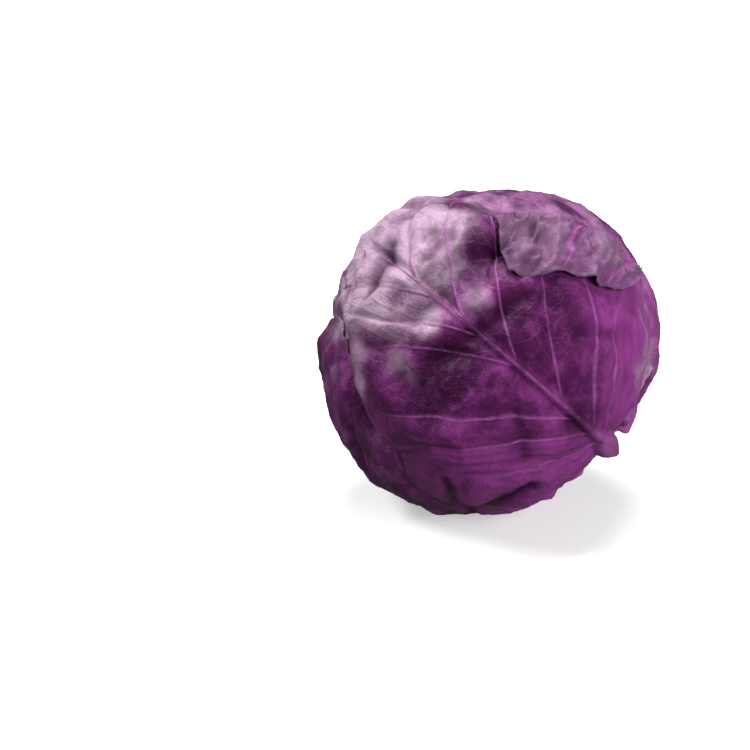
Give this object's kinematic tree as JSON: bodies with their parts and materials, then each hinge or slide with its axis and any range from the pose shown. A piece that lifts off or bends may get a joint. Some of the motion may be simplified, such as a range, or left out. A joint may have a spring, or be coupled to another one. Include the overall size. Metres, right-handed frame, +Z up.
{
  "type": "red cabbage",
  "caption": "Whole red cabbage head lying on its side: ribbed, wavy-edged wrapper leaves around a dense heart and a short cut stalk, the front leaf's margin folded back",
  "frame": {"origin": "On the floor, at the middle of the small flat spot that the head rests on, straight below the middle of the head", "axes": "+Z up; +X to the right as the picture shows the head, the side the stalk points to; -Y towards the viewer"},
  "size_m": [0.155, 0.1583, 0.1488],
  "materials": {
    "outer_leaf": "waxy leaf, satin, deep purple with lighter magenta veins and a grey bloom",
    "inner_leaf": "waxy leaf, satin, lilac purple with magenta veins and a strong grey bloom",
    "heart_leaves": "waxy leaf, satin",
    "stalk": "cut fibrous flesh with a dried tan rim"
  },
  "bodies": {
    "root": {"heart": "heart_leaves", "stalk": "stalk", "wrapper_leaf_1": "outer_leaf", "wrapper_leaf_2": "outer_leaf", "wrapper_leaf_3": "outer_leaf", "wrapper_leaf_4": "inner_leaf", "wrapper_leaf_5": "inner_leaf", "wrapper_leaf_6": "inner_leaf"}
  },
  "joints": []
}
